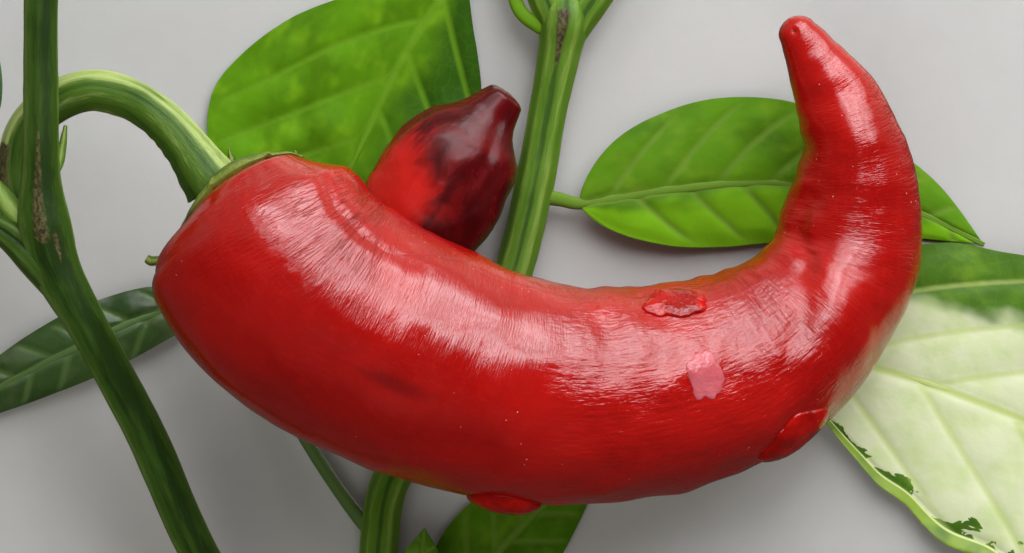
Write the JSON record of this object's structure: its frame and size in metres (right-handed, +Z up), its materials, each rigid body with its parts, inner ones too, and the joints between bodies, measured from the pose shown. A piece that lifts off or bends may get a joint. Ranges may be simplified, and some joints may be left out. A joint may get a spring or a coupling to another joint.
{
  "type": "chilli pepper branch",
  "caption": "Cut forked branch of a chilli pepper plant lying on its side, with a large hooked red fruit, a small fruit behind it, young shoots and leaves.",
  "frame": {"origin": "middle of the underside of the branch as it lies, on the surface that it lies on", "axes": "+X along the large fruit from its stalk to its bend, +Y from the cut foot of the stem to the young shoots, +Z up from the surface it lies on"},
  "size_m": [0.1716, 0.1308, 0.0424],
  "materials": {
    "stem": "satin",
    "stalk": "satin",
    "calyx": "satin",
    "red_fruit": "gloss",
    "dark_fruit": "gloss",
    "leaf": "satin",
    "pale_leaf": "satin",
    "dark_leaf": "satin"
  },
  "bodies": {
    "root": {"stem_base": "stem", "stem_left": "stem", "stem_right": "stem", "shoot_left": "stem", "side_shoot_left": "stem", "shoot_right_a": "stem", "shoot_right_b": "stem", "fruit_main": "red_fruit", "calyx_main": "calyx", "pedicel_rise": "stalk", "pedicel_fall": "stalk", "fruit_second": "dark_fruit", "calyx_second": "calyx", "pedicel_second": "stalk", "leaf_top": "leaf", "leaf_right": "leaf", "leaf_lower_right": "pale_leaf", "leaf_left": "dark_leaf", "leaf_bottom": "leaf", "leaf_young": "leaf", "leaf_side": "pale_leaf"}
  },
  "joints": []
}
